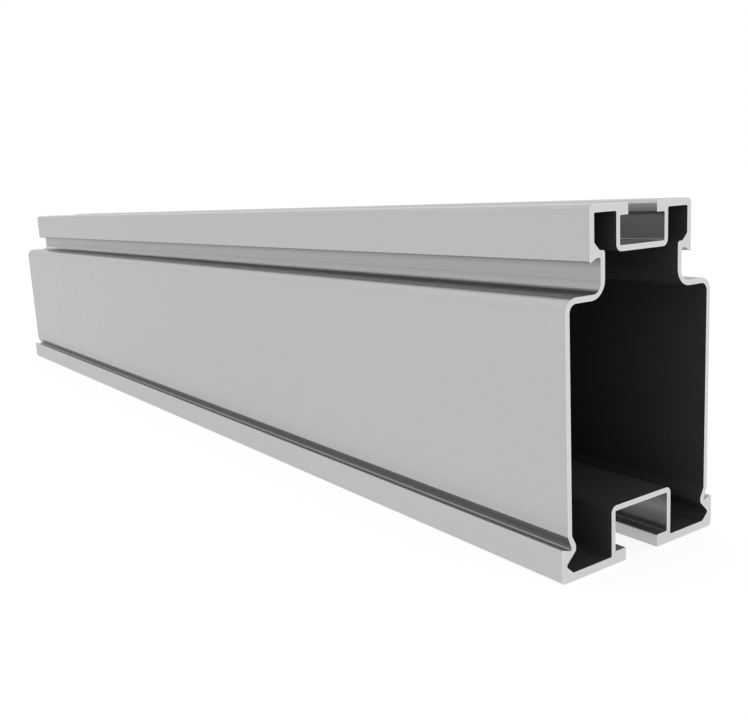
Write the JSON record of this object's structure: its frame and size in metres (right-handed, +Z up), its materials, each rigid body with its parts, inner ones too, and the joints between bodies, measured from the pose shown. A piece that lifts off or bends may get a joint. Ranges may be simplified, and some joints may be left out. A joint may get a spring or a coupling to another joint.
{
  "type": "solar mounting rail",
  "caption": "Straight hollow aluminium rail with a bolt channel in its cap and base, clamp hooks under the cap and grooves over the base flange.",
  "frame": {"origin": "middle of the underside, halfway between the sawn ends", "axes": "+X along the rail towards the end nearest the camera in the picture, +Y across it, +Z up to the cap"},
  "size_m": [0.413, 0.052, 0.08],
  "materials": {
    "aluminium": "satin, as extruded, with fine die lines along the length"
  },
  "bodies": {
    "root": {"rail_extrusion": "aluminium"}
  },
  "joints": []
}
